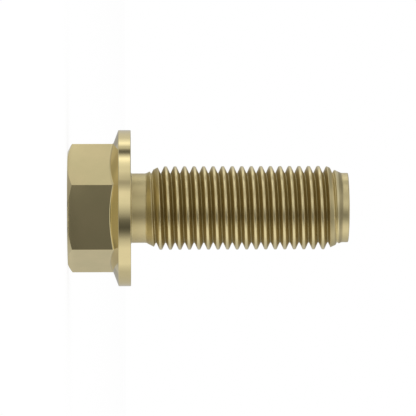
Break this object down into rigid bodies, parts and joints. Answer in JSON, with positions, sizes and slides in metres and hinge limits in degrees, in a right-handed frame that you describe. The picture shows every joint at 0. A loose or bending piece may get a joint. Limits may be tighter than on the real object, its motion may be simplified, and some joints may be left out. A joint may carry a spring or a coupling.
{
  "type": "hex flange screw",
  "caption": "Hexagon head screw with a round flange, a fine right-hand machine thread and a plain pilot point",
  "frame": {"origin": "on the axis, in the plane of the flange's bearing face", "axes": "+Z along the shank to the tip; two flats of the hexagon face +Y and -Y, and two of its corners point along +X and -X"},
  "size_m": [0.0208, 0.0208, 0.0375],
  "materials": {
    "plated_steel": "satin yellow zinc plating"
  },
  "bodies": {
    "root": {"flange_screw": "plated_steel"}
  },
  "joints": []
}
